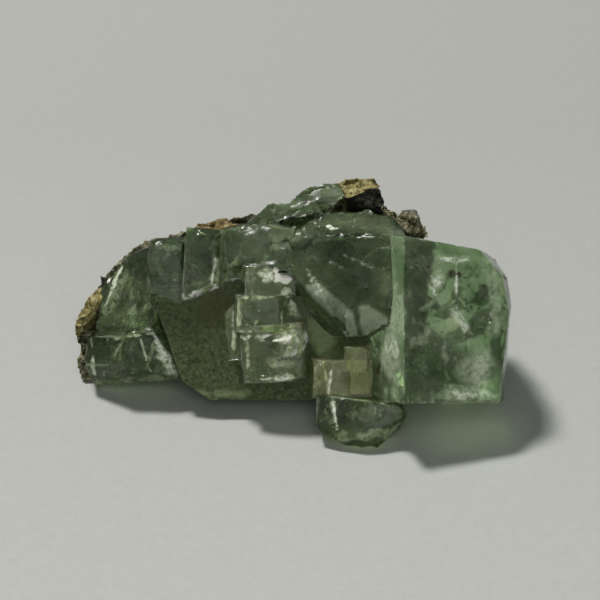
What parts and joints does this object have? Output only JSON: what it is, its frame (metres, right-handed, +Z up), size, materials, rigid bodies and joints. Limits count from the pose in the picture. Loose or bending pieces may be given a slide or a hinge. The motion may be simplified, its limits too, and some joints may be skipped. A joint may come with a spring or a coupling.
{
  "type": "fluorite specimen",
  "caption": "Cluster of green fluorite crystals grown together on a plate of brown host rock, standing on its broken base and leaning back.",
  "frame": {"origin": "on the ground, under the middle of the outline", "axes": "+X along the length towards the large block, +Y into the host rock behind, +Z up; the crystal side faces -Y and leans back"},
  "size_m": [0.0646, 0.04, 0.029],
  "materials": {
    "sea_green": "clear sea-green fluorite with pale veils",
    "deep_green": "clear deep green fluorite, cleaved",
    "dull_green": "dull, finely pitted olive-brown crystal face",
    "pale_green": "pale green fluorite with stepped faces",
    "honey_green": "yellowish green fluorite",
    "clear_chip": "nearly colourless chip",
    "olive_rock": "rough granular host rock",
    "dark_rock": "dark rough rock",
    "tan_rock": "tan rough rock",
    "rust_rock": "rusty crust"
  },
  "bodies": {
    "root": {"large_block_crystal": "sea_green", "dull_crystal": "dull_green", "left_crystal": "deep_green", "step_crystal": "deep_green", "deep_step_crystal": "deep_green", "shoulder_crystal": "deep_green", "foot_crystal": "deep_green", "honey_cube": "honey_green", "honey_cube_small": "honey_green", "honey_cube_side": "honey_green", "cube_shell": "pale_green", "cube_upper": "pale_green", "cube_lower": "pale_green", "cube_left": "pale_green", "cube_top": "pale_green", "massive_fluorite": "deep_green", "dark_cap": "dark_rock", "tan_cap": "tan_rock", "sugary_rock": "olive_rock", "clear_shard": "clear_chip", "rust_crust": "rust_rock", "tan_crust": "tan_rock", "dark_grain": "dark_rock", "host_rock": "olive_rock"}
  },
  "joints": []
}
